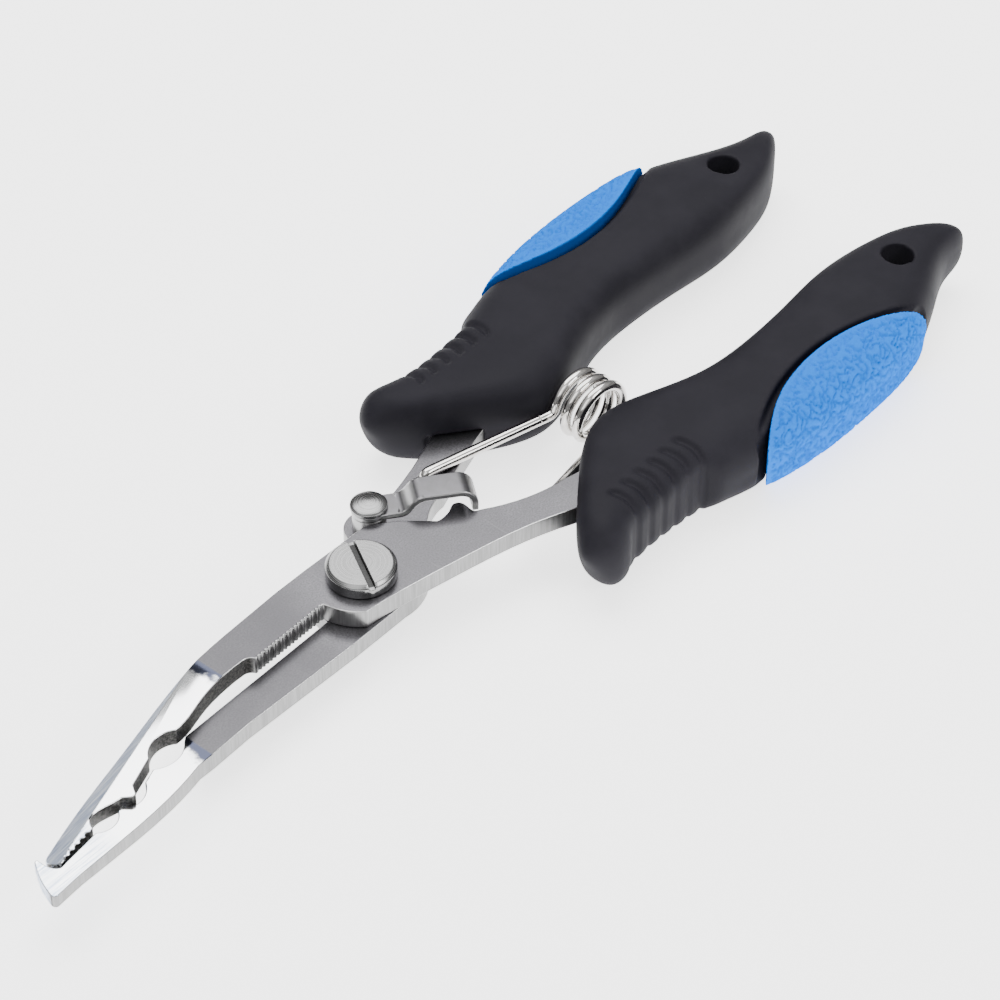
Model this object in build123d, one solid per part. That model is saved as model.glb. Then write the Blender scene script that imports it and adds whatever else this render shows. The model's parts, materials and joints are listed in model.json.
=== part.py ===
from build123d import *
import math
import os

# Split-ring and crimping fishing pliers: two crossed stamped steel levers on a slotted
# pivot screw, a swinging sheet-steel latch, a wire return spring between the handles, and
# two moulded grips, each with a rubber inlay.
# Everything is drawn about the pivot: its axis is Z, the jaws point along -X, the handles
# along +X, and z = 0 is the plane where the two levers meet. The finished parts are then
# moved so that the origin is the centre of the footprint, at the lowest point.

# ---- driving dimensions, mm ----
PLATE = 3.0                 # thickness of each lever
PLATE_GAP = 0.05            # running gap between the two levers
TIP_HALF = 1.1              # half thickness of the jaws at the tip, where they are in line
TAPER_UPPER = -25.5         # x where the plain jaw starts to thin
TAPER_LOWER = -34.4         # x where the hook jaw starts to thin
TAPER_END = -60.0           # x where both jaws reach their tip thickness
FACET_NORMAL = (-0.177, 0.42, 1.0)   # ground facet along the plain jaw's outer side

SCREW_HEAD_R = 4.85
SCREW_HEAD_H = 2.2
SCREW_CHAMFER = 0.55
SCREW_SLOT_W = 0.9
SCREW_SLOT_D = 0.8
SCREW_SLOT_ANGLE = 60
JOURNAL_R = 3.0
THREAD_R = 2.5
RUNNING = 0.05              # radial clearance of a turning fit

LATCH_AT = (9.7, 7.3)       # rivet axis
LATCH_ANGLE = -38
LATCH_T = 0.9
LATCH_W = 4.2
LATCH_RING_R = 2.45
LATCH_REACH = 14.8          # rivet axis to the outside of the rolled lip
LATCH_LOW = 2.9             # underside of the latch at the rivet
LATCH_HIGH = 5.2            # underside of the raised part
LATCH_BEND = (3.9, 7.7)      # the S-bend, along the strip from the rivet axis
LATCH_BEND_LEAD = 0.35      # how much sooner the upper face bends
LATCH_LIP_R = 1.7           # inner radius of the rolled lip
LATCH_LIP_DROP = 1.2        # straight part of the lip below its roll
SPACER_R = 2.35
RIVET_SHANK_R = 1.3
RIVET_HEAD_R = 2.6
RIVET_RIM_H = 0.5
RIVET_DOME_H = 0.6

WIRE_R = 0.78
KNUCKLE = 0.03              # the wire is a little fuller where it bends
COIL_X = 48.0
COIL_R = 4.35               # to the centre of the wire
COIL_FAR_Y = 2.9
COIL_TURNS = 2.8
COIL_PITCH = 2.15
ARM_Z = 1.15                # height of a spring arm above or below the lever face
FAR_HOOK = (21.6, 7.8)      # hole in the hook-jaw lever for the spring
NEAR_HOOK = (22.5, -7.9)    # hole in the plain-jaw lever for the spring
HOOK_CLEAR = 0.35
HOOK_FLOOR = 0.5            # metal left over the blind hole in the plain-jaw lever

GRIP_HALF = 6.3             # half thickness of a grip
# along the far grip: x, inner y, outer y, half thickness, squareness of the inner and of the
# outer side (1 is an ellipse, 0 a box), and how far the underside stands back from the top
GRIP_STATIONS = [
    (22.2, 18.9, 20.9, 1.8, 0.90, 0.90, 1.9),
    (23.3, 17.4, 22.6, 4.2, 0.80, 0.90, 1.7),
    (26.0, 15.1, 23.6, 5.8, 0.70, 0.85, 1.2),
    (30.0, 12.0, 22.8, 6.3, 0.62, 0.80, 0.6),
    (36.0, 7.7, 22.4, 6.4, 0.58, 0.76, 0.0),
    (43.5, 4.3, 23.4, 6.4, 0.56, 0.72, 0.0),
    (51.0, 5.9, 25.0, 6.4, 0.56, 0.66, 0.0),
    (60.0, 8.9, 26.8, GRIP_HALF, 0.56, 0.60, 0.0),
    (70.0, 9.7, 27.6, GRIP_HALF, 0.56, 0.56, 0.0),
    (80.0, 9.1, 27.5, GRIP_HALF, 0.56, 0.56, 0.0),
    (88.0, 8.6, 26.7, 6.2, 0.50, 0.58, 0.0),
    (94.0, 9.1, 25.0, 5.9, 0.44, 0.68, 0.0),
    (99.0, 10.0, 22.8, 5.6, 0.42, 0.76, 0.0),
    (104.0, 11.6, 20.5, 5.3, 0.42, 0.80, 0.0),
    (107.6, 13.6, 19.5, 4.8, 0.45, 0.80, 0.0),
    (110.2, 15.4, 19.1, 4.0, 0.55, 0.80, 0.0),
    (111.8, 16.9, 18.5, 2.2, 0.75, 0.85, 0.0),
]
SECTION_POINTS = 20
GRIP_SKEW = -0.6            # both grips stand this many degrees off the mirror line
INLAY_GROOVE = 1.2
INLAY_GROOVE_DEPTH = 1.6
INLAY_NOTCH = 1.0           # depth of the groove where it runs out at the two ends
# inner edge of the inlay, from its front end to its back end
INLAY_EDGE = [(54.4, 25.6), (58.0, 23.8), (62.0, 22.3), (67.0, 21.15), (72.0, 20.75),
              (78.0, 21.35), (84.0, 23.0), (91.6, 25.7)]
INLAY_HUB = (72.5, 45.0)    # the groove's edge is the inlay's, moved away from here
LANYARD_AT = (98.0, 16.1)
LANYARD_R = 2.4
RIB_COUNT = 6
RIB_START = (31.0, 23.8)
RIB_END = (44.5, 23.9)
RIB_R = 2.2
MOUTH_GAP = 0.9             # play beside the far tang where it enters its grip
MOUTH_END = 29.0


def prism(edges, bottom, top):
    """Solid between two heights from a closed chain of edges."""
    face = make_face(Curve() + edges)
    return extrude(Pos(0, 0, bottom) * face, top - bottom)


def side_cut(points):
    """Tall XZ outline, wide in Y, that shapes a lever or grip seen from the side."""
    face = make_face(Plane.XZ * Polyline(points, close=True))
    return extrude(face, 80, both=True)


def turned(part, angle):
    return Rot(0, 0, angle) * part


# ---- levers ----

def jaw_teeth(start, end, count, size):
    """Row of triangular notches, for cutting, between two points of an edge."""
    notches = []
    for i in range(count):
        t = (i + 0.5) / count
        x = start[0] + (end[0] - start[0]) * t
        y = start[1] + (end[1] - start[1]) * t
        notches.append(Pos(x, y, 0) * Rot(0, 0, 45) * Box(size, size, 4 * PLATE))
    return notches


def plain_jaw_lever():
    """Upper lever: plain jaw at the front, near handle at the back."""
    back = Polyline((7.0, 5.9), (-4.0, 6.3), (-10.0, 6.4), (-20.0, 6.15))
    nose = Spline((-20.0, 6.15), (-28.0, 5.55), (-34.9, 4.4), (-42.7, 2.75), (-51.6, 1.0),
                  (-59.8, -1.2), tangents=[(-1, -0.03), (-1, -0.3)])
    tip = Spline((-59.8, -1.2), (-61.0, -1.95), (-61.1, -3.1), (-60.4, -4.35),
                 tangents=[(-1, -0.3), (0.7, -0.7)])
    bite = Line((-60.4, -4.35), (-54.0, -3.4))
    ring_cut = Spline((-54.0, -3.4), (-52.9, -2.0), (-51.2, -2.05), (-48.3, -2.75))
    peak = Polyline((-48.3, -2.75), (-47.4, -3.7), (-46.7, -3.75), (-45.9, -2.45))
    step = Line((-45.9, -2.45), (-41.5, -0.95))
    crimp = ThreePointArc((-41.5, -0.95), (-38.9, 0.6), (-36.0, -0.4))
    hollow = Spline((-36.0, -0.4), (-33.6, -0.25), (-30.0, 0.65), (-26.0, 1.15), (-22.0, 1.15))
    corner = ThreePointArc((-22.0, 1.15), (-20.95, 0.8), (-20.5, 0.1))
    blade = Line((-20.5, 0.1), (-7.4, 0.1))
    notch = Spline((-7.4, 0.1), (-6.5, -3.0), (-4.8, -5.2))
    outer = Spline((-4.8, -5.2), (0.0, -5.9), (10.0, -8.0), (20.0, -10.5), (28.0, -13.6))
    tang_out = Polyline((28.0, -13.6), (36.0, -16.2), (84.0, -20.0), (84.0, -14.5))
    tang_in = Polyline((84.0, -14.5), (42.0, -11.2), (32.0, -8.8))
    inner = Spline((32.0, -8.8), (25.0, -6.9), (20.0, -4.1))
    ledge = Line((20.0, -4.1), (19.1, -3.6))
    catch = Spline((19.1, -3.6), (19.05, -2.6), (19.2, -1.5), (18.85, -0.7), (18.1, -0.4),
                   (17.0, -0.8), (15.7, -1.1), (14.3, -1.0))
    flank = Spline((14.3, -1.0), (13.6, -0.1), (10.6, 3.3), (7.0, 5.9))
    edges = [back, nose, tip, bite, ring_cut, peak, step, crimp, hollow, corner, blade,
             notch, outer, tang_out, tang_in, inner, ledge, catch, flank]
    lever = prism(edges, -PLATE, PLATE)
    lever &= side_cut([(100, 0), (100, PLATE), (TAPER_UPPER, PLATE), (TAPER_END, TIP_HALF),
                       (-80, TIP_HALF), (-80, -TIP_HALF), (TAPER_END, -TIP_HALF), (-24, 0)])
    facet = Plane(origin=(-28.2, 5.2, 2.85), z_dir=FACET_NORMAL)
    lever -= facet * Pos(0, 0, 10) * Box(80, 80, 20)
    for cutter in jaw_teeth((-59.9, -4.3), (-54.6, -3.5), 5, 0.62):
        lever -= cutter
    for cutter in jaw_teeth((-20.2, 0.1), (-7.7, 0.1), 18, 0.36):
        lever -= cutter
    lever -= Cylinder(JOURNAL_R + RUNNING, 4 * PLATE)
    hole_top = PLATE - HOOK_FLOOR
    lever -= Pos(*NEAR_HOOK, hole_top / 2) * Cylinder(WIRE_R + HOOK_CLEAR, hole_top)
    return lever


def hook_jaw_lever():
    """Lower lever: hook jaw at the front, far handle at the back."""
    hook = Spline((-60.9, -4.7), (-61.7, -3.9), (-61.95, -1.7), tangents=[(-1, 0.3), (0.05, 1)])
    point = ThreePointArc((-61.95, -1.7), (-62.25, -1.5), (-62.6, -1.8))
    outside = Spline((-62.6, -1.8), (-64.1, -4.35), (-64.95, -6.9))
    heel = ThreePointArc((-64.95, -6.9), (-64.8, -7.45), (-64.2, -7.65))
    back = Spline((-64.2, -7.65), (-53.5, -7.2), (-43.5, -6.5), (-37.0, -5.3))
    waist = Polyline((-37.0, -5.3), (-27.7, -5.1), (-17.7, -5.5), (-7.7, -5.9), (2.0, -6.0))
    flank = Spline((2.0, -6.0), (8.5, -4.5), (13.4, 0.0), (17.5, 3.2), (21.5, 4.2))
    tang_in = Polyline((21.5, 4.2), (26.5, 5.9), (32.0, 7.6), (40.0, 9.7), (84.0, 13.2))
    tang_out = Polyline((84.0, 13.2), (84.0, 18.6), (36.0, 15.6), (28.0, 12.6), (22.5, 10.8))
    outer = Spline((22.5, 10.8), (16.3, 9.3), (8.0, 7.7), (0.0, 5.9), (-4.8, 5.2))
    notch = Spline((-4.8, 5.2), (-6.5, 3.0), (-7.4, -0.35))
    blade = Line((-7.4, -0.35), (-34.4, -0.35))
    crimp_out = Line((-34.4, -0.35), (-35.3, -1.0))
    crimp = ThreePointArc((-35.3, -1.0), (-38.3, -2.42), (-41.35, -1.4))
    step = Line((-41.35, -1.4), (-43.7, -2.25))
    vee = Spline((-43.7, -2.25), (-44.7, -3.4), (-46.5, -4.15), (-47.8, -3.95), (-48.6, -2.95))
    bump = Line((-48.6, -2.95), (-49.5, -3.2))
    ring_cut = ThreePointArc((-49.5, -3.2), (-51.6, -4.6), (-54.0, -3.8))
    bite = Line((-54.0, -3.8), (-60.9, -4.7))
    edges = [hook, point, outside, heel, back, waist, flank, tang_in, tang_out, outer, notch,
             blade, crimp_out, crimp, step, vee, bump, ring_cut, bite]
    lever = prism(edges, -PLATE, PLATE)
    lobe = Pos(*LATCH_AT, 0) * Cylinder(3.6, 2 * PLATE)
    lever += lobe
    top = -PLATE_GAP
    lever &= side_cut([(100, -PLATE), (100, top), (TAPER_LOWER, top), (TAPER_END, TIP_HALF),
                       (-80, TIP_HALF), (-80, -TIP_HALF), (TAPER_END, -TIP_HALF),
                       (TAPER_LOWER, -PLATE)])
    lever -= Cylinder(THREAD_R, 4 * PLATE)
    lever -= Pos(*LATCH_AT, 0) * Cylinder(RIVET_SHANK_R, 4 * PLATE)
    lever -= Pos(*FAR_HOOK, 0) * Cylinder(WIRE_R + HOOK_CLEAR, 4 * PLATE)
    return lever


def pivot_screw():
    """Slotted screw: chamfered head, plain journal, and a thread in the lower lever."""
    head_base = PLATE + RUNNING
    head = Pos(0, 0, head_base + SCREW_HEAD_H / 2) * Cylinder(SCREW_HEAD_R, SCREW_HEAD_H)
    head = chamfer(head.edges().group_by(Axis.Z)[-1], SCREW_CHAMFER)
    top = head_base + SCREW_HEAD_H
    slot = Rot(0, 0, SCREW_SLOT_ANGLE) * Box(3 * SCREW_HEAD_R, SCREW_SLOT_W, 2 * SCREW_SLOT_D)
    journal_h = head_base + PLATE_GAP
    journal = Pos(0, 0, head_base - journal_h / 2) * Cylinder(JOURNAL_R, journal_h)
    thread_h = PLATE - PLATE_GAP
    thread = Pos(0, 0, -PLATE_GAP - thread_h / 2) * Cylinder(THREAD_R, thread_h)
    return head - Pos(0, 0, top) * slot + journal + thread


# ---- latch ----

def latch_strip():
    """Sheet strip, drawn along +X from its rivet: ring, S-bend, raised bridge, rolled lip."""
    low = LATCH_LOW
    high = LATCH_HIGH
    lip = LATCH_LIP_R + LATCH_T
    bridge_end = LATCH_REACH - lip
    lip_low = high - LATCH_LIP_R - LATCH_LIP_DROP
    faces = []
    for lift, radius, lead in ((0, LATCH_LIP_R, 0), (LATCH_T, lip, LATCH_BEND_LEAD)):
        bend = [(x - lead, z + lift) for x, z in ((LATCH_BEND[0], low), (LATCH_BEND[1], high))]
        roll_top = (bridge_end, high + lift)
        roll_end = (bridge_end + radius, high - LATCH_LIP_R)
        faces += [Line((0, low + lift), bend[0]),
                  Spline(*bend, tangents=[(1, 0), (1, 0)]),
                  Line(bend[1], roll_top),
                  TangentArc(roll_top, roll_end, tangent=(1, 0)),
                  Line(roll_end, (bridge_end + radius, lip_low))]
    ends = [Line((0, low), (0, low + LATCH_T)),
            Line((bridge_end + LATCH_LIP_R, lip_low), (bridge_end + lip, lip_low))]
    section = make_face(Plane.XZ * (Curve() + faces + ends))
    strip = extrude(section, LATCH_W / 2, both=True)
    ring = Pos(0, 0, low + LATCH_T / 2) * Cylinder(LATCH_RING_R, LATCH_T)
    strip += ring
    strip -= Cylinder(RIVET_SHANK_R + RUNNING, 8)
    return Pos(*LATCH_AT, 0) * Rot(0, 0, LATCH_ANGLE) * strip


def latch_spacer():
    height = LATCH_LOW + PLATE_GAP - RUNNING
    spacer = Pos(0, 0, height / 2 - PLATE_GAP) * (Cylinder(SPACER_R, height)
                                                 - Cylinder(RIVET_SHANK_R, height))
    return Pos(*LATCH_AT, 0) * spacer


def latch_rivet():
    """Domed rivet through the latch, the spacer and the lower lever."""
    head_base = LATCH_LOW + LATCH_T + RUNNING
    head_h = RIVET_RIM_H + RIVET_DOME_H
    dome_r = (RIVET_HEAD_R ** 2 + RIVET_DOME_H ** 2) / (2 * RIVET_DOME_H)
    dome = Pos(0, 0, head_base + head_h - dome_r) * Sphere(dome_r)
    head = dome & (Pos(0, 0, head_base + head_h / 2) * Cylinder(RIVET_HEAD_R, head_h))
    shank_h = head_base + PLATE
    shank = Pos(0, 0, head_base - shank_h / 2) * Cylinder(RIVET_SHANK_R, shank_h)
    return Pos(*LATCH_AT, 0) * (head + shank)


# ---- return spring ----

def wire_run(start, end):
    """Straight round wire between two points, with a ball at its far end."""
    start = Vector(*start)
    end = Vector(*end)
    along = end - start
    rod = Plane(origin=start, z_dir=along) * Cylinder(
        WIRE_R, along.length, align=(Align.CENTER, Align.CENTER, Align.MIN))
    return rod + Pos(end.X, end.Y, end.Z) * Sphere(WIRE_R + KNUCKLE)


def return_spring():
    """Coil across the handles, with one arm hooked into each lever."""
    height = COIL_TURNS * COIL_PITCH
    helix = Helix(COIL_PITCH, height, COIL_R, lefthand=True)
    helix = Pos(COIL_X, COIL_FAR_Y, 0) * Rot(90, 0, 0) * Rot(0, 0, 180) * helix
    profile = Plane(origin=helix @ 0, z_dir=helix % 0) * Circle(WIRE_R)
    spring = sweep(profile, path=helix, is_frenet=True)
    far_top = (FAR_HOOK[0], FAR_HOOK[1], ARM_Z)
    near_top = (NEAR_HOOK[0], NEAR_HOOK[1], -ARM_Z)
    for bend in (helix @ 0, helix @ 1):
        spring += Pos(*bend) * Sphere(WIRE_R + KNUCKLE)
    spring += wire_run(helix @ 0, far_top)
    spring += wire_run(far_top, (FAR_HOOK[0], FAR_HOOK[1], -PLATE + WIRE_R))
    spring += wire_run(helix @ 1, near_top)
    near_end = PLATE - HOOK_FLOOR - HOOK_CLEAR - WIRE_R
    spring += wire_run(near_top, (NEAR_HOOK[0], NEAR_HOOK[1], near_end))
    return spring


# ---- grips, drawn for the far (+Y) handle ----

def grip_section(x, y_in, y_out, half, inner, outer, setback):
    """Rounded cross-section of a grip at one place along it."""
    middle = (y_in + y_out) / 2
    reach = (y_out - y_in) / 2
    points = []
    for i in range(SECTION_POINTS):
        angle = 2 * math.pi * i / SECTION_POINTS
        power = outer if math.cos(angle) > 0 else inner
        across = math.copysign(abs(math.cos(angle)) ** power, math.cos(angle))
        height = math.copysign(abs(math.sin(angle)) ** power, math.sin(angle))
        points.append((x + setback * (1 - height) / 2, middle + reach * across, half * height))
    return make_face(Spline(points, periodic=True))


def grip_blank():
    """Outer form of a grip, before its inlay, ribs and holes."""
    return loft([grip_section(*station) for station in GRIP_STATIONS])


def inlay_region(margin, half):
    """Lens between the inlay's inner edge and the space outside the grip."""
    edge = []
    for x, y in INLAY_EDGE:
        away = Vector(x - INLAY_HUB[0], y - INLAY_HUB[1], 0).normalized()
        edge.append((x + margin * away.X, y + margin * away.Y))
    (x0, y0), (x1, y1) = edge[0], edge[-1]
    rest = Polyline((x1, y1), (x1, 36), (x0, 36), (x0, y0))
    return prism([Spline(edge), rest], -half, half)


def grip(blank, lever, mouth_gap):
    """Moulded grip with the inlay's pocket, rib hollows, lanyard hole and tang slot."""
    body = blank - inlay_region(0, 2 * GRIP_HALF)
    rim_cut = inlay_region(INLAY_GROOVE, 2 * GRIP_HALF)
    core_y = INLAY_EDGE[0][1] - INLAY_NOTCH
    core = Box(400, 2 * core_y, 2 * (GRIP_HALF - INLAY_GROOVE_DEPTH))
    body -= rim_cut - core
    for i in range(RIB_COUNT):
        t = i / (RIB_COUNT - 1)
        x = RIB_START[0] + (RIB_END[0] - RIB_START[0]) * t
        y = RIB_START[1] + (RIB_END[1] - RIB_START[1]) * t
        body -= Pos(x, y, 0) * Cylinder(RIB_R, 3 * GRIP_HALF)
    body -= Pos(*LANYARD_AT, 0) * Cylinder(LANYARD_R, 3 * GRIP_HALF)
    body -= lever
    if mouth_gap:
        near_mouth = Pos(MOUTH_END - 20, 0, 0) * Box(40, 80, 4 * PLATE)
        body -= (Pos(0, mouth_gap, 0) * lever) & near_mouth
    return body


def grip_inlay(blank):
    """Rubber lens let into the outer side of a grip, flush with it."""
    return blank & inlay_region(0, 2 * GRIP_HALF)


def main():
    upper = plain_jaw_lever()
    lower = hook_jaw_lever()
    blank = grip_blank()
    lower_local = turned(lower, -GRIP_SKEW)
    upper_local = mirror(turned(upper, -GRIP_SKEW), about=Plane.XZ)
    left_grip = turned(grip(blank, lower_local, MOUTH_GAP), GRIP_SKEW)
    right_grip = turned(mirror(grip(blank, upper_local, 0), about=Plane.XZ), GRIP_SKEW)
    left_inlay = turned(grip_inlay(blank), GRIP_SKEW)
    right_inlay = turned(mirror(grip_inlay(blank), about=Plane.XZ), GRIP_SKEW)
    parts = {
        "hook_jaw_lever": lower,
        "plain_jaw_lever": upper,
        "pivot_screw": pivot_screw(),
        "latch": latch_strip(),
        "latch_spacer": latch_spacer(),
        "latch_rivet": latch_rivet(),
        "return_spring": return_spring(),
        "left_grip": left_grip,
        "right_grip": right_grip,
        "left_grip_inlay": left_inlay,
        "right_grip_inlay": right_inlay,
    }
    boxes = [part.bounding_box() for part in parts.values()]
    low = [min(tuple(box.min)[i] for box in boxes) for i in range(3)]
    high = [max(tuple(box.max)[i] for box in boxes) for i in range(3)]
    shift = Pos(-(low[0] + high[0]) / 2, -(low[1] + high[1]) / 2, -low[2])
    os.makedirs("parts", exist_ok=True)
    for name, part in parts.items():
        export_step(shift * part, f"parts/{name}.step")
    print("size", [round(high[i] - low[i], 3) for i in range(3)])
    print("pivot at", [round(value, 4) for value in tuple(shift.position)])


main()
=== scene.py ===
import json
import math

import bmesh
import bpy
import numpy as np
from mathutils import Euler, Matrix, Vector, noise


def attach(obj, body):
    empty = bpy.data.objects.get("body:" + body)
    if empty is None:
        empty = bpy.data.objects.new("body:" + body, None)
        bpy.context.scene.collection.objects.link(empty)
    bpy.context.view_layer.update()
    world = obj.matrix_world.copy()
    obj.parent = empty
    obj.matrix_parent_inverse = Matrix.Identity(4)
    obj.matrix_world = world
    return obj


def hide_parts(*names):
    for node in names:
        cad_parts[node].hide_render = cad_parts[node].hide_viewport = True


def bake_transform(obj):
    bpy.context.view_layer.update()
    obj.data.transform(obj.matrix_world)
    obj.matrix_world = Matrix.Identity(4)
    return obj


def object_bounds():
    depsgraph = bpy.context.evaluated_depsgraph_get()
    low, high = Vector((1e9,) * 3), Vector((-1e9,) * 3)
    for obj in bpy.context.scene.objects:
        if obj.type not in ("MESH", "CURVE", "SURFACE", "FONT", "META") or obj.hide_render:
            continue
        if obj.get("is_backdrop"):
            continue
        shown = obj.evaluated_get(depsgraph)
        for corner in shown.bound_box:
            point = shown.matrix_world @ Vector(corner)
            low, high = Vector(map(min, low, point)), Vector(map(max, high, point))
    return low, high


# Looks for the fishing pliers. Lengths in this script are millimetres about the jaw pivot
# (X towards the handles, Z up) unless a name says otherwise; point() turns them into the
# scene's metres.

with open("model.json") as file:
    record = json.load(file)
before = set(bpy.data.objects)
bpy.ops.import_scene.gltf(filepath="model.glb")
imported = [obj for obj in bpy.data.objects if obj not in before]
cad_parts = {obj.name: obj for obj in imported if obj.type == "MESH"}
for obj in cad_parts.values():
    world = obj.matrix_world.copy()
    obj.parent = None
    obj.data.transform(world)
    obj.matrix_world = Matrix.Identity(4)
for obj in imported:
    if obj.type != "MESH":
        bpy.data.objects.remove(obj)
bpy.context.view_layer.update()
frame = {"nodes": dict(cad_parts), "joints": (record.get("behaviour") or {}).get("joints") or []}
nodes = frame["nodes"]
MM = 0.001
JAW = next(j for j in frame["joints"] if j["name"] == "jaw_pivot")
PIVOT = Vector(JAW["pos_m"])
SKEW = math.radians(-0.6)      # both grips stand this far off the mirror line


def point(x, y, z):
    return PIVOT + Vector((x, y, z)) * MM


def link(obj):
    bpy.context.scene.collection.objects.link(obj)
    return obj


# ---------------------------------------------------------------- materials

class Graph:
    """A material's node tree, with short calls for the nodes used here."""

    def __init__(self, name, **sockets):
        self.material = bpy.data.materials.new(name)
        self.material.use_nodes = True
        self.tree = self.material.node_tree
        self.shader = self.tree.nodes["Principled BSDF"]
        for key, value in sockets.items():
            self.shader.inputs[key.replace("_", " ")].default_value = value

    def node(self, kind, inputs=None, **attributes):
        made = self.tree.nodes.new("ShaderNode" + kind)
        for key, value in attributes.items():
            setattr(made, key, value)
        for key, value in (inputs or {}).items():
            if isinstance(value, bpy.types.NodeSocket):
                self.tree.links.new(value, made.inputs[key])
            else:
                made.inputs[key].default_value = value
        return made

    def math(self, operation, a, b=0.0):
        return self.node("Math", {0: a, 1: b}, operation=operation).outputs[0]

    def times(self, a, b):
        return self.math("MULTIPLY", a, b)

    def plus(self, a, b):
        return self.math("ADD", a, b)

    def minus(self, a, b):
        return self.math("SUBTRACT", a, b)

    def ramp(self, value, low, high, to_low=0.0, to_high=1.0):
        """A smooth step of value, from to_low at low to to_high at high."""
        made = self.node("MapRange", {"Value": value, "From Min": low, "From Max": high,
                                      "To Min": to_low, "To Max": to_high},
                         interpolation_type="SMOOTHSTEP")
        return made.outputs["Result"]

    def normal(self):
        """The surface normal's three parts."""
        return self.node("SeparateXYZ", {0: self.node("NewGeometry").outputs["Normal"]}).outputs

    def mix(self, factor, a, b):
        made = self.node("Mix", {"Factor": factor, "A": a, "B": b}, data_type="RGBA")
        # the colour sockets share their names with the float ones
        for key, value in (("A", a), ("B", b)):
            socket = [s for s in made.inputs if s.name == key and s.type == "RGBA"][0]
            if isinstance(value, bpy.types.NodeSocket):
                self.tree.links.new(value, socket)
            else:
                socket.default_value = value
        return [s for s in made.outputs if s.type == "RGBA"][0]

    def place(self, scale=(1, 1, 1)):
        """Object coordinates about the jaw pivot, in mm, times scale."""
        coords = self.node("TexCoord").outputs["Object"]
        moved = self.node("VectorMath", {0: coords, 1: tuple(PIVOT)}, operation="SUBTRACT")
        scaled = self.node("VectorMath", {0: moved.outputs[0],
                                          1: tuple(s / MM for s in scale)},
                           operation="MULTIPLY")
        return scaled.outputs[0]

    def noise(self, scale, detail=2.0, rough=0.5, stretch=(1, 1, 1)):
        made = self.node("TexNoise", {"Vector": self.place(stretch), "Scale": scale,
                                      "Detail": detail, "Roughness": rough})
        return made.outputs["Fac"]

    def bump(self, height, strength, distance):
        made = self.node("Bump", {"Height": height, "Strength": strength,
                                  "Distance": distance * MM})
        self.tree.links.new(made.outputs[0], self.shader.inputs["Normal"])

    def drive(self, socket, value):
        self.tree.links.new(value, self.shader.inputs[socket])


def grey(value, tint=(1, 1, 1)):
    return (value * tint[0], value * tint[1], value * tint[2], 1)


COOL = (0.985, 0.965, 1.03)        # tint of the satin steel
# Where the levers' finish and their painted shade change, as X; each pair runs forward.
HOOK_POLISH = -34.4
PLAIN_POLISH = -25.5
JAWS_PAINTED_SHADE = (-5.0, -14.0)
BITES_START = (-20.3, -21.0)
TIP_WEARS = (-52.0, -56.0)


def rim_of(g, level):
    """1 on a broken edge, between a level face and an upright wall."""
    return g.times(g.ramp(level, 0.35, 0.6), g.ramp(level, 0.88, 0.78))


def satin_plate(g, along, grain):
    """Colour of the flat faces: cool satin grey, clouded, with faint lines along the lever, and
    painted shade that darkens it towards the jaws.
    """
    cloud = g.noise(0.16, 2.0)
    line = g.ramp(g.noise(1.3, 4.0, 0.7, (2.2, 0.05, 1.0)), 0.60, 0.72)
    satin = g.mix(g.ramp(grain, 0.25, 0.75), grey(0.095, COOL), grey(0.170, COOL))
    satin = g.mix(g.ramp(cloud, 0.35, 0.65, 0.0, 0.4), satin, grey(0.100, COOL))
    satin = g.mix(g.times(line, 0.25), satin, grey(0.24))
    # painted shade: the plate darkens towards the jaws
    return g.mix(g.ramp(along, *JAWS_PAINTED_SHADE, 0.0, 0.55), satin, grey(0.070, COOL))


def sheared_walls(g, milled, pits, between):
    """Colour of the side walls: upright tool marks, and pitted steel inside the bites that
    painted shade makes dark where the walls face between the jaws.
    """
    edge = g.mix(g.ramp(milled, 0.2, 0.8), grey(0.19), grey(0.29))
    # painted shade: the bites' walls are darkened, mottled by the pits
    bite_pits_and_shade = g.mix(g.ramp(pits, 0.35, 0.7), grey(0.030), grey(0.16, (1.0, 0.98, 0.94)))
    return g.mix(between, edge, bite_pits_and_shade)


def polished_nose(g, along, ahead, scratch):
    """Mirror finish that starts at a dark, wavy band and is worn blue-grey at the tip."""
    wave = g.noise(0.35, 4.0, 0.6)
    wavy = g.plus(ahead, g.times(g.minus(wave, 0.5), 5.0))
    worn = g.times(g.ramp(along, *TIP_WEARS), g.ramp(scratch, 0.42, 0.62))
    mirror = g.mix(scratch, grey(0.86, (0.97, 0.99, 1.02)), grey(0.99))
    mirror = g.mix(worn, mirror, (0.36, 0.43, 0.56, 1))
    return g.mix(g.ramp(wavy, 0.9, 2.3), (0.045, 0.050, 0.075, 1), mirror)


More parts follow.
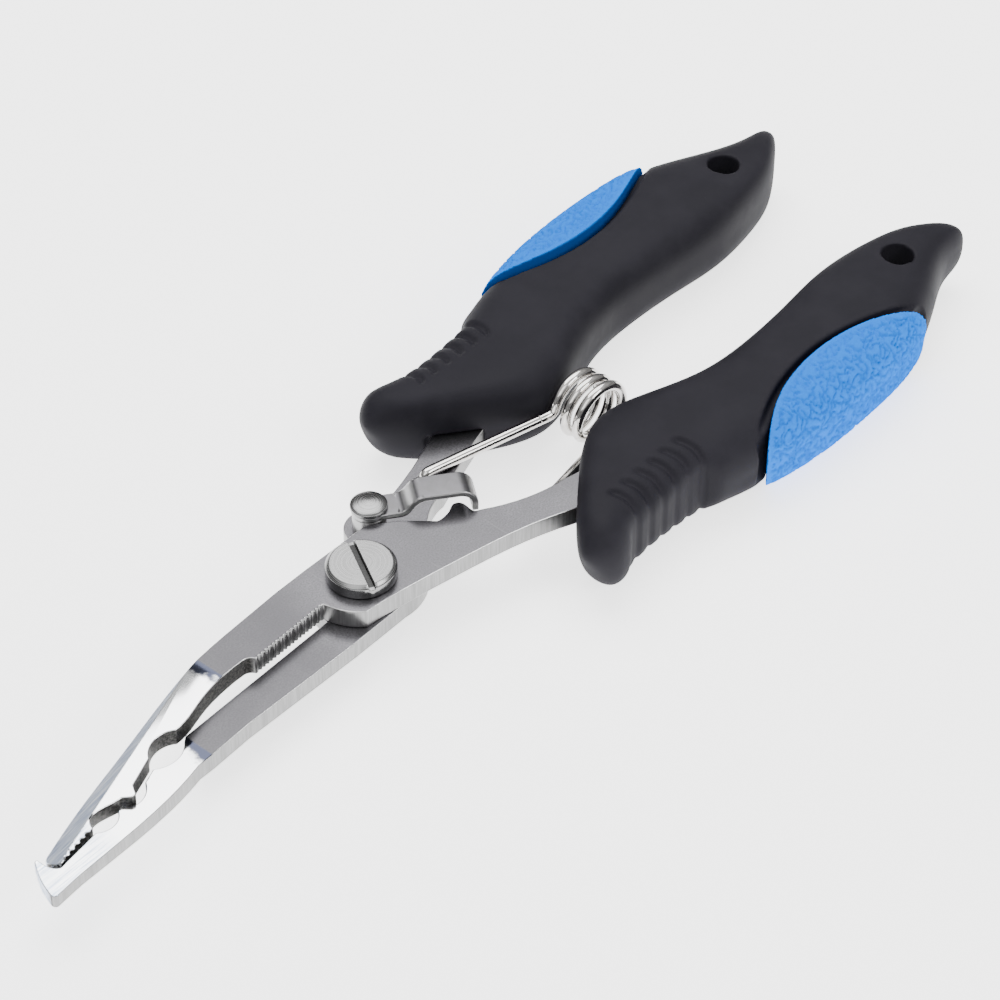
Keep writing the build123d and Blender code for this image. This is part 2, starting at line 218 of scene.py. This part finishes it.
def lever_steel(name, polish_from, bite_side):
    """Satin plate, mirror polished forward of polish_from, with painted shade inside the jaws'
    bites.

    bite_side is the sign of Y that the walls between the jaws face."""
    g = Graph(name, Metallic=1.0)
    along = g.node("SeparateXYZ", {0: g.place()}).outputs[0]
    normal = g.normal()
    level = g.math("ABSOLUTE", normal[2])
    flat = g.ramp(level, 0.45, 0.75)
    grain = g.noise(4.0, 4.0, 0.65)
    milled = g.noise(3.2, 3.0, 0.6, (1.0, 1.0, 0.05))
    pits = g.noise(3.5, 4.0, 0.7)
    scratch = g.noise(1.1, 4.0, 0.7, (0.10, 3.0, 1.0))
    # the walls that face the other jaw, whose colour gets painted shade
    between = g.times(g.ramp(g.times(normal[1], bite_side), -0.35, 0.1),
                      g.ramp(along, *BITES_START))
    between = g.times(between, g.minus(1.0, flat))
    ahead = g.minus(polish_from, along)
    nose = g.times(g.ramp(ahead, -0.1, 0.25), flat)
    slope = g.times(g.ramp(normal[1], 0.20, 0.32), g.ramp(normal[1], 0.60, 0.50))
    facet = g.times(slope, g.ramp(ahead, 1.0, 5.0))

    body = g.mix(flat, sheared_walls(g, milled, pits, between), satin_plate(g, along, grain))
    # painted highlight: the broken edges are made near white
    body = g.mix(g.times(rim_of(g, level), 0.9), body, grey(0.9))
    band = polished_nose(g, along, ahead, scratch)
    hollow = g.mix(g.ramp(scratch, 0.3, 0.7), (0.36, 0.44, 0.62, 1), (0.86, 0.90, 0.97, 1))
    g.drive("Base Color", g.mix(facet, g.mix(nose, body, band), hollow))

    dull = g.plus(g.plus(0.26, g.times(grain, 0.12)), g.times(between, 0.2))
    shiny = g.plus(g.plus(0.05, g.times(scratch, 0.10)), g.times(facet, 0.28))
    g.drive("Roughness", g.node("Mix", {0: nose, 2: dull, 3: shiny},
                                data_type="FLOAT").outputs[0])
    walls = g.plus(g.times(milled, g.minus(0.6, flat)), g.times(pits, between))
    g.bump(g.plus(g.times(grain, 0.5), walls), 0.14, 0.010)
    return g.material


def turned_steel(name, centre, shade, slot=None):
    """Face-turned finish: fine rings about a vertical axis at centre.

    slot is the height of a screw slot's floor and how far from the axis the slot reaches; inside
    it painted shade makes the steel dark."""
    g = Graph(name, Metallic=1.0, Anisotropic=0.7)
    axes = g.node("SeparateXYZ", {0: g.place()}).outputs
    dx = g.minus(axes[0], centre[0])
    dy = g.minus(axes[1], centre[1])
    radius = g.math("SQRT", g.plus(g.times(dx, dx), g.times(dy, dy)))
    ring = g.node("CombineXYZ", {0: g.times(radius, 7.0), 1: 0.0, 2: 0.0})
    rings = g.node("TexNoise", {"Vector": ring.outputs[0], "Scale": 1.0,
                                "Detail": 3.0}).outputs["Fac"]
    patch = g.noise(1.6, 2.0)
    colour = g.mix(g.ramp(rings, 0.3, 0.7), grey(0.55 * shade), grey(1.3 * shade))
    colour = g.mix(g.ramp(patch, 0.3, 0.7, 0.0, 0.4), colour, grey(shade))
    if slot:
        floor, reach = slot
        # painted shade in the screw slot, below its floor and within its reach
        inside = g.times(g.ramp(axes[2], floor + 0.45, floor + 0.1),
                         g.ramp(radius, reach, reach - 0.15))
        colour = g.mix(inside, colour, grey(0.035))
    g.drive("Base Color", colour)
    g.drive("Roughness", g.ramp(rings, 0.3, 0.7, 0.18, 0.32))
    g.bump(rings, 0.35, 0.016)
    tangent = g.node("Tangent", direction_type="RADIAL", axis="Z")
    g.drive("Tangent", tangent.outputs[0])
    return g.material


def rolled_steel(name):
    """Tumbled sheet steel of the latch and spacer, lighter on its cut edges, with a painted
    highlight on the broken edges.
    """
    g = Graph(name, Metallic=1.0)
    level = g.math("ABSOLUTE", g.normal()[2])
    grain = g.noise(5.0, 3.0, 0.6)
    spots = g.noise(0.8, 2.0)
    colour = g.mix(grain, grey(0.125, (1.0, 0.98, 1.03)), grey(0.175, (1.0, 0.98, 1.03)))
    colour = g.mix(g.ramp(spots, 0.35, 0.7, 0.0, 0.5), colour, grey(0.125))
    colour = g.mix(g.ramp(level, 0.55, 0.25), colour, g.mix(grain, grey(0.26), grey(0.42)))
    # painted highlight on the broken edges
    g.drive("Base Color", g.mix(g.times(rim_of(g, level), 0.6), colour, grey(0.6)))
    g.drive("Roughness", g.ramp(grain, 0.2, 0.8, 0.30, 0.36))
    g.bump(grain, 0.05, 0.004)
    return g.material


def plated_wire(name):
    """Bright drawn spring wire with faint warm tint and draw marks."""
    g = Graph(name, Metallic=1.0)
    marks = g.noise(1.6, 3.0, 0.6)
    g.drive("Base Color", g.mix(marks, grey(0.42, (1.0, 0.95, 0.90)),
                                grey(0.80, (1.0, 0.985, 0.965))))
    g.drive("Roughness", g.ramp(marks, 0.2, 0.8, 0.06, 0.16))
    g.bump(marks, 0.15, 0.02)
    return g.material


def soft_black(name):
    """Soft-touch moulded grip: matt, faintly grained, greyer where it is rubbed."""
    g = Graph(name, Specular_IOR_Level=0.09)
    grain = g.noise(6.0, 2.0, 0.5)
    worn = g.noise(0.12, 3.0, 0.6)
    colour = g.mix(g.ramp(worn, 0.35, 0.7), (0.0115, 0.0109, 0.0147, 1),
                   (0.0161, 0.0153, 0.0198, 1))
    dust = g.ramp(g.noise(1.9, 3.0, 0.7), 0.66, 0.80, 0.0, 0.35)
    g.drive("Base Color", g.mix(dust, colour, (0.026, 0.026, 0.029, 1)))
    g.drive("Roughness", g.ramp(worn, 0.3, 0.7, 0.56, 0.68))
    g.bump(grain, 0.30, 0.02)
    return g.material


def blue_rubber(name):
    """Inlay rubber: bright blue, with painted shade in the creases and down the side wall."""
    g = Graph(name, Specular_IOR_Level=0.0)
    painted_crease_shade = g.node("Attribute", attribute_name="painted_crease_shade").outputs["Fac"]
    grain = g.noise(3.0, 3.0, 0.6)
    top = g.mix(grain, (0.0, 0.142, 0.62, 1), (0.0, 0.192, 0.82, 1))
    # painted shade in the creases and down the side wall
    g.drive("Base Color", g.mix(painted_crease_shade, top, (0.0, 0.060, 0.30, 1)))
    g.drive("Roughness", g.ramp(grain, 0.25, 0.75, 0.42, 0.54))
    g.bump(grain, 0.25, 0.03)
    return g.material


# ---------------------------------------------------------------- meshes

def evaluated(obj):
    """The mesh with its modifiers applied."""
    graph = bpy.context.evaluated_depsgraph_get()
    mesh = bpy.data.meshes.new_from_object(obj.evaluated_get(graph))
    obj.modifiers.clear()
    obj.data = mesh
    return obj


def welded_copy(name, node):
    """A new object with the CAD node's faces, welded into closed surfaces."""
    mesh = bpy.data.meshes.new(name)
    work = bmesh.new()
    work.from_mesh(nodes[node].data)
    bmesh.ops.remove_doubles(work, verts=work.verts, dist=0.0005 * MM)
    work.to_mesh(mesh)
    work.free()
    return link(bpy.data.objects.new(name, mesh))


CORNER = math.radians(28)          # edges sharper than this are broken
FACET = math.radians(0.4)          # faces closer than this are made one
SMOOTH_BELOW = math.radians(50)


def machined(name, node, width):
    """The CAD node's shape with its sharp edges broken, as on a tumbled metal part."""
    obj = welded_copy(name, node)
    work = bmesh.new()
    work.from_mesh(obj.data)
    bmesh.ops.dissolve_limit(work, angle_limit=FACET, verts=work.verts, edges=work.edges)
    edges = [e for e in work.edges if e.is_manifold and e.calc_face_angle() > CORNER]
    bmesh.ops.bevel(work, geom=edges, offset=width * MM, offset_type="OFFSET",
                    segments=2, profile=0.5, affect="EDGES", clamp_overlap=False,
                    loop_slide=True, harden_normals=False)
    work.to_mesh(obj.data)
    work.free()
    obj.data.polygons.foreach_set("use_smooth", [True] * len(obj.data.polygons))
    obj.data.set_sharp_from_angle(angle=SMOOTH_BELOW)
    flatten = obj.modifiers.new("flat faces", "WEIGHTED_NORMAL")
    flatten.mode = "FACE_AREA"
    flatten.weight = 100
    flatten.keep_sharp = True
    return evaluated(obj)


MELT_ROUNDS = 150


def soften(obj, rounds, group=""):
    smooth = obj.modifiers.new("soften", "SMOOTH")
    smooth.factor = 0.5
    smooth.iterations = rounds
    smooth.vertex_group = group


def moulded(name, node, voxel, rounds, melt=None):
    """The CAD node's shape as an even, dense mesh with softened edges.

    melt says how far, from 0 to 1, to soften each place much further."""
    obj = welded_copy(name, node)
    remesh = obj.modifiers.new("even", "REMESH")
    remesh.mode = "VOXEL"
    remesh.voxel_size = voxel * MM
    remesh.use_smooth_shade = True
    soften(obj, rounds)
    evaluated(obj)
    if melt:
        group = obj.vertex_groups.new(name="melt")
        for i, share in enumerate(melt(read(obj)[0])):
            if share > 0:
                group.add([i], float(share), "REPLACE")
        soften(obj, MELT_ROUNDS, "melt")
        evaluated(obj)
    return obj


def read(obj):
    """Vertices and normals as arrays, vertices in mm about the pivot."""
    count = len(obj.data.vertices)
    places = np.empty(count * 3)
    obj.data.vertices.foreach_get("co", places)
    normals = np.empty(count * 3)
    obj.data.vertex_normals.foreach_get("vector", normals)
    places = (places.reshape(-1, 3) - np.array(PIVOT)) / MM
    return places, normals.reshape(-1, 3)


def write(obj, places):
    """Moves the vertices to these places, in mm about the pivot."""
    metres = places * MM + np.array(PIVOT)
    obj.data.vertices.foreach_set("co", metres.reshape(-1))
    obj.data.update()


def step(value, low, high):
    """Smooth step from 0 at low to 1 at high."""
    t = np.clip((value - low) / (high - low), 0, 1)
    return t * t * (3 - 2 * t)


def grip_frame(places, side):
    """Turns mm about the pivot into a grip's own frame, with +Y outward."""
    c, s = math.cos(-SKEW), math.sin(-SKEW)
    x = c * places[:, 0] - s * places[:, 1]
    y = s * places[:, 0] + c * places[:, 1]
    return x, y * side


RIB_AT = [31.2 + 2.75 * i for i in range(6)]
RIB_HALF = 1.0
RIB_DEPTH = 0.55


def soft_zone(side):
    """Where the grip is roundest, at its front end and ribs, by places in mm."""
    def share(places):
        x, y = grip_frame(places, side)
        ribs = step(x, 25.5, 29.0) * (1 - step(x, 48.5, 52.0)) * step(y, 15.0, 18.0)
        return np.maximum(ribs, 1 - step(x, 23.5, 27.0))
    return share


def shape_grip(obj, side):
    """Cuts the rib grooves, which arch over the face and run down the outer side."""
    places, normals = read(obj)
    x, y = grip_frame(places, side)
    outward = normals[:, 1] * side
    depth = np.zeros(len(x))
    arch = 0.9 * np.sin(np.clip((y - 16.5) / 6.5, 0, 1) * math.pi)
    start = step(y, 16.3, 17.6)
    for centre in RIB_AT:
        away = np.abs(x - centre - arch)
        depth += np.where(away < RIB_HALF, 0.5 + 0.5 * np.cos(math.pi * away / RIB_HALF), 0)
    strength = RIB_DEPTH * (1 - 0.65 * step(outward, 0.6, 0.95))
    facing = step(np.maximum(np.abs(normals[:, 2]), outward), 0.15, 0.4)
    inward = -normals * (depth * start * strength * facing)[:, None]
    write(obj, places + inward)


INLAY_EDGE = [(54.4, 25.6), (58.0, 23.8), (62.0, 22.3), (67.0, 21.15), (72.0, 20.75),
              (78.0, 21.35), (84.0, 23.0), (91.6, 25.7)]
INLAY_RISE = 0.60
CREASE_SCALE = 1.0
CREASE_DEPTH = 0.36
WRINKLE_SEED = 1       # noise_vector draws on it, and 0 would mean the clock


def edge_distance(x, y):
    """How far inside the inlay's inner edge each place is, in mm."""
    fine = np.linspace(0, len(INLAY_EDGE) - 1, 400)
    knots = np.arange(len(INLAY_EDGE))
    rim = np.column_stack([np.interp(fine, knots, [p[i] for p in INLAY_EDGE])
                           for i in range(2)])
    away = np.full(len(x), 1e9)
    for rx, ry in rim:
        away = np.minimum(away, np.hypot(x - rx, y - ry))
    return away


def shape_inlay(obj, side):
    """Raises the inlay above its grip and gives its skin the wrinkled relief."""
    noise.seed_set(WRINKLE_SEED)
    places, _ = read(obj)
    x, y = grip_frame(places, side)
    swell = np.zeros_like(places)
    swell[:, 1] = side * INLAY_RISE * step(y, 21.5, 27.0)
    swell[:, 2] = INLAY_RISE * places[:, 2] / 6.0
    write(obj, places + swell)
    places, normals = read(obj)
    margin = edge_distance(x, y)
    inner = step(margin, 0.25, 1.0)
    relief = np.empty(len(x))
    for i, place in enumerate(places):
        p = Vector(place)
        warp = noise.noise_vector(p * 0.6) * 0.8
        fold = abs(noise.noise(p * CREASE_SCALE + warp))
        relief[i] = fold + 0.35 * abs(noise.noise(p * CREASE_SCALE * 2.3))
    ridge = step(relief, 0.02, 0.38)
    lift = CREASE_DEPTH * (ridge - 0.7) * inner
    write(obj, places + normals * lift[:, None])
    # painted shade: the side wall and the creases between the ridges are marked darker
    wall = (1 - step(margin, 0.1, 0.45)) * (1 - step(np.abs(normals[:, 2]), 0.4, 0.8))
    wall = np.where(normals[:, 1] * side > 0.35, 0, wall)
    painted_crease_shade = np.clip((1 - ridge) * 0.30 * inner + wall * 0.9, 0, 1)
    layer = obj.data.attributes.new("painted_crease_shade", "FLOAT", "POINT")
    layer.data.foreach_set("value", painted_crease_shade.astype(np.float32))


# ---------------------------------------------------------------- return spring

WIRE_R = 0.78
WIRE_SIDES = 22
COIL_X, COIL_Y, COIL_R = 48.0, 2.9, 4.35
COIL_TURNS, COIL_PITCH = 2.8, 2.15
FAR_HOOK = (21.6, 7.8)
NEAR_HOOK = (22.5, -7.9)
ARM_Z = 1.15
FAR_END, NEAR_END = -2.22, 1.37      # heights of the wire's two ends
ARM_LEAD = 2.6                       # straight wire that stays with the coil
LINE_STEP = 0.16
BEND_STEPS = 12                      # how far a bend's rounding reaches, in steps
BEND_SPREAD = 4.2                    # and its width


def spring_line():
    """Centre line of the wire, mm about the pivot, and where on it each arm meets the coil."""
    corners = [(*FAR_HOOK, FAR_END), (*FAR_HOOK, ARM_Z)]
    turns = np.linspace(0, COIL_TURNS, 340)
    coil = [(COIL_X - COIL_R * math.cos(math.tau * t), COIL_Y - COIL_PITCH * t,
             COIL_R * math.sin(math.tau * t)) for t in turns]
    corners += coil
    corners += [(*NEAR_HOOK, -ARM_Z), (*NEAR_HOOK, NEAR_END)]
    route = np.array(corners)
    spans = np.linalg.norm(np.diff(route, axis=0), axis=1)
    run = np.concatenate([[0], np.cumsum(spans)])
    at = np.arange(0, run[-1], LINE_STEP)
    line = np.column_stack([np.interp(at, run, route[:, i]) for i in range(3)])
    kernel = np.exp(-0.5 * (np.arange(-BEND_STEPS, BEND_STEPS + 1) / BEND_SPREAD) ** 2)
    kernel /= kernel.sum()
    padded = np.pad(line, ((BEND_STEPS, BEND_STEPS), (0, 0)), mode="edge")
    line = np.column_stack([np.convolve(padded[:, i], kernel, "valid") for i in range(3)])
    coil_from = int((run[2] - ARM_LEAD) / LINE_STEP)
    coil_to = int((run[-3] + ARM_LEAD) / LINE_STEP)
    return line, coil_from, coil_to


def wire(name, line):
    """A closed round tube along a line, its rings carried without twist."""
    work = bmesh.new()
    tangents = np.gradient(line, axis=0)
    tangents /= np.linalg.norm(tangents, axis=1)[:, None]
    across = np.cross(tangents[0], (0.0, 1.0, 0.3))
    rings = []
    for centre, tangent in zip(line, tangents):
        across = across - tangent * across.dot(tangent)
        across /= np.linalg.norm(across)
        other = np.cross(tangent, across)
        ring = []
        for k in range(WIRE_SIDES):
            a = math.tau * k / WIRE_SIDES
            place = centre + WIRE_R * (math.cos(a) * across + math.sin(a) * other)
            ring.append(work.verts.new(point(*place)))
        rings.append(ring)
    for one, two in zip(rings, rings[1:]):
        for k in range(WIRE_SIDES):
            after = (k + 1) % WIRE_SIDES
            work.faces.new((one[k], one[after], two[after], two[k]))
    work.faces.new(list(reversed(rings[0])))
    work.faces.new(rings[-1])
    bmesh.ops.recalc_face_normals(work, faces=work.faces)
    mesh = bpy.data.meshes.new(name)
    work.to_mesh(mesh)
    work.free()
    # the two flat ends come last
    mesh.polygons.foreach_set("use_smooth", [True] * (len(mesh.polygons) - 2) + [False] * 2)
    return link(bpy.data.objects.new(name, mesh))


# ---------------------------------------------------------------- the pieces

def finish_piece(obj, node, body, material):
    obj.data.materials.clear()
    obj.data.materials.append(material)
    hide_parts(node)
    if body:
        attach(obj, body)


SCREW_SLOT = (4.45, 4.35)            # height of its floor, and its reach from the axis
GRIP_VOXEL = 0.26
INLAY_VOXEL = 0.19


def build_metal():
    latch_at = next(j for j in frame["joints"] if j["name"] == "latch_pivot")["pos_m"]
    rivet_axis = tuple((Vector(latch_at) - PIVOT)[i] / MM for i in range(2))
    sheet = rolled_steel("latch_steel")
    for name, node, body, slot, broken, material in (
            ("hook_lever", "hook_jaw_lever", "root", "lever_steel", 0.18,
             lever_steel("hook_lever_steel", HOOK_POLISH, 1)),
            ("plain_lever", "plain_jaw_lever", "upper_lever", "lever_steel", 0.18,
             lever_steel("plain_lever_steel", PLAIN_POLISH, -1)),
            ("screw", "pivot_screw", "root", "screw_steel", 0.10,
             turned_steel("screw_steel", (0.0, 0.0), 0.26, SCREW_SLOT)),
            ("rivet", "latch_rivet", "root", "latch_steel", 0.10,
             turned_steel("rivet_steel", rivet_axis, 0.22)),
            ("spacer", "latch_spacer", "root", "latch_steel", 0.08, sheet),
            ("latch_strip", "latch", "latch", "latch_steel", 0.20, sheet)):
        finish_piece(machined(name, node, broken), node, body, material)


def build_grips():
    black = soft_black("grip_black")
    blue = blue_rubber("inlay_blue")
    for name, side, body in (("left", 1, "root"), ("right", -1, "upper_lever")):
        grip = moulded(f"{name}_grip_skin", f"{name}_grip", GRIP_VOXEL, 4, soft_zone(side))
        shape_grip(grip, side)
        finish_piece(grip, f"{name}_grip", body, black)
        inlay = moulded(f"{name}_inlay_skin", f"{name}_grip_inlay", INLAY_VOXEL, 3)
        shape_inlay(inlay, side)
        finish_piece(inlay, f"{name}_grip_inlay", body, blue)


def build_spring():
    """The return spring's wire in three pieces, far arm, coil and near arm, which are not
    attached to either lever.
    """
    plated = plated_wire("spring_wire")
    line, coil_from, coil_to = spring_line()
    far = point(*FAR_HOOK, ARM_Z)
    near = point(*NEAR_HOOK, -ARM_Z)
    far_root = point(*line[coil_from])
    near_root = point(*line[coil_to])
    middle = (far_root + near_root) / 2
    aside = Vector((0, 1, 0))          # a sideways offset for the coil's ends, which the pieces don't use
    lengths = (("far_arm", line[:coil_from + 1], far, 2 * far_root - far),
               ("coil", line[coil_from:coil_to + 1], middle + aside, middle - aside),
               ("near_arm", line[coil_to:], 2 * near_root - near, near))
    for name, route, start, end in lengths:
        piece = wire(f"return_spring_{name}", route)
        finish_piece(piece, "return_spring", None, plated)
        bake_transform(piece)


# ---------------------------------------------------------------- studio

CAMERA_AT = (-248.64, -234.25, 339.26)
CAMERA_TURN = (46.587, 0, -49.8)     # degrees
CAMERA_LENS = 129.6
FLOOR_HALF = 3.0                     # metres
FLOOR_GLOW = 2.2
SKY = ((0.0, 0.10), (0.16, 0.34), (0.34, 0.30), (0.50, 0.52), (0.70, 0.75), (1.0, 1.0))
# A large soft box above and behind, whose near edge stops short of the flat plates'
# reflection, a weak fill, and a low one from the front for the edges. Each has its name,
# azimuth and elevation in degrees, size in metres and watts, and stands 1 m away.
LIGHTS = (("key", 52.0, 66.0, (1.05, 0.80), 15.0),
          ("fill", 195.0, 48.0, (0.7, 0.7), 3.0),
          ("edge", 281.0, 38.0, (0.50, 0.34), 4.5))


def add_camera():
    camera = link(bpy.data.objects.new("camera", bpy.data.cameras.new("camera")))
    camera.location = point(*CAMERA_AT)
    camera.rotation_euler = Euler([math.radians(a) for a in CAMERA_TURN])
    camera.data.lens = CAMERA_LENS
    camera.data.sensor_width = 36
    camera.data.clip_start = 0.01
    camera.data.clip_end = 20
    bpy.context.scene.camera = camera


def add_floor(table):
    """Pale paper under the pliers at height table, in metres."""
    work = bmesh.new()
    corners = [(-1, -1), (1, -1), (1, 1), (-1, 1)]
    work.faces.new([work.verts.new((x * FLOOR_HALF, y * FLOOR_HALF, table)) for x, y in corners])
    mesh = bpy.data.meshes.new("floor")
    work.to_mesh(mesh)
    work.free()
    floor = link(bpy.data.objects.new("floor", mesh))
    paper = Graph("floor_paper", Base_Color=grey(0.86), Roughness=0.9,
                  Emission_Color=(1, 1, 1, 1), Emission_Strength=FLOOR_GLOW)
    floor.data.materials.append(paper.material)
    floor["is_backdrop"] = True


def add_sky():
    """Plain grey surroundings, brighter with height."""
    world = bpy.data.worlds.new("studio")
    bpy.context.scene.world = world
    world.use_nodes = True
    tree = world.node_tree
    background = tree.nodes["Background"]
    coords = tree.nodes.new("ShaderNodeTexCoord")
    axes = tree.nodes.new("ShaderNodeSeparateXYZ")
    ramp = tree.nodes.new("ShaderNodeValToRGB")
    tree.links.new(coords.outputs["Generated"], axes.inputs[0])
    tree.links.new(axes.outputs[2], ramp.inputs[0])
    tree.links.new(ramp.outputs[0], background.inputs[0])
    stops = ramp.color_ramp.elements
    stops[0].color = grey(SKY[0][1])
    stops[1].color = grey(SKY[-1][1])
    for place, value in SKY[1:-1]:
        stops.new(place).color = grey(value)


def add_lights():
    for name, azimuth, elevation, size, power in LIGHTS:
        light = bpy.data.lights.new(name, "AREA")
        light.shape = "RECTANGLE"
        light.size, light.size_y = size
        light.energy = power
        lamp = link(bpy.data.objects.new(name, light))
        a, e = math.radians(azimuth), math.radians(elevation)
        lamp.location = Vector((math.cos(a) * math.cos(e), math.sin(a) * math.cos(e),
                                math.sin(e)))
        lamp.rotation_euler = (-lamp.location).to_track_quat("-Z", "Y").to_euler()


build_metal()
build_grips()
build_spring()
bpy.context.view_layer.update()
add_camera()
add_floor(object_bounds()[0].z)       # the inlays stand proud, so the pliers rest on them
add_sky()
add_lights()
bpy.context.view_layer.update()
